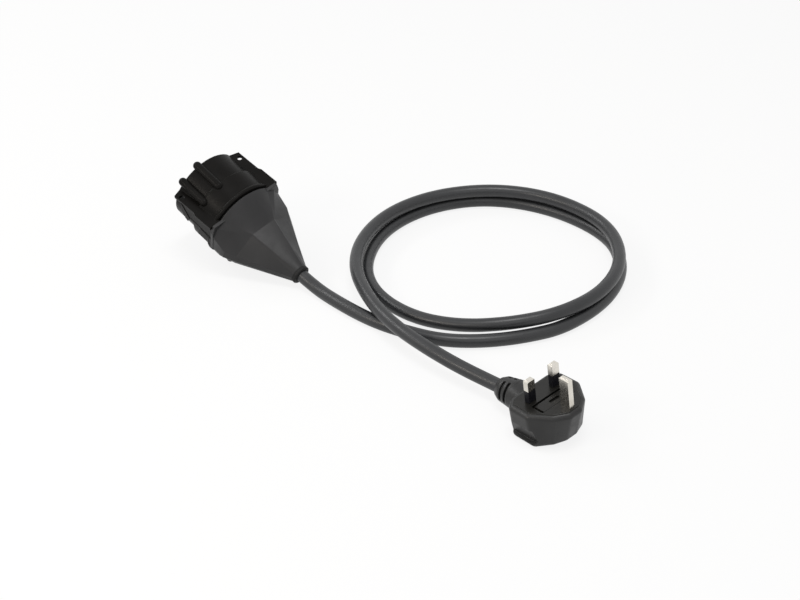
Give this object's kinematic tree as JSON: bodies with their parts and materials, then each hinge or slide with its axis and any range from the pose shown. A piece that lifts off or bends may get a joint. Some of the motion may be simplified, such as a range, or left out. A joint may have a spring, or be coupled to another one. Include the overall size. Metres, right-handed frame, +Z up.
{
  "type": "ev charger plug adapter",
  "caption": "Adapter lead for car charging: a round keyed coupling in a tapered two-part housing, a coiled cable and a fused three-pin mains plug",
  "frame": {"origin": "middle of the floor rectangle under the coupling, without the cord and its plug", "axes": "+Y runs from the cable exit toward the coupling face, +X to the right of it seen from above, +Z up"},
  "size_m": [0.2495, 0.3775, 0.0762],
  "materials": {
    "housing": "fine satin",
    "barrel": "satin",
    "carrier": "matt",
    "rubber": "matt",
    "jacket": "satin",
    "plug_moulding": "satin",
    "plug_panel": "satin",
    "pin_metal": "bright plated",
    "brass": "bright",
    "steel": "plated",
    "ceramic": "glazed",
    "core_brown": "matt",
    "core_blue": "matt",
    "core_green": "matt",
    "core_black": "matt"
  },
  "bodies": {
    "adapter": {"cable": "jacket", "cable_bush": "rubber", "cable_clamp": "carrier", "clamp_screws": "steel", "contact_carrier": "carrier", "coupling_barrel": "barrel", "coupling_seal": "rubber", "earth_contact": "brass", "earth_core": "core_green", "earth_pin": "pin_metal", "fuse_clips": "brass", "housing_screws": "steel", "live_contact": "brass", "live_core": "core_brown", "live_pin": "pin_metal", "live_pin_sleeve": "plug_panel", "lower_shell": "housing", "neutral_contact": "brass", "neutral_core": "core_blue", "neutral_pin": "pin_metal", "neutral_pin_sleeve": "plug_panel", "pilot_contact": "brass", "pilot_core": "core_black", "plug_body": "plug_moulding", "plug_panel": "plug_panel", "proximity_contact": "brass", "proximity_core": "core_black", "upper_shell": "housing"},
    "fuse_carrier": {"fuse_drawer": "plug_panel", "fuse_body": "ceramic", "fuse_caps": "steel"}
  },
  "joints": [
    {"name": "fuse_drawer_slide", "type": "slide", "parent": "adapter", "child": "fuse_carrier", "axis": [-0.0805, 0.0916, 0.9925], "range_m": [0, 0.012]}
  ]
}
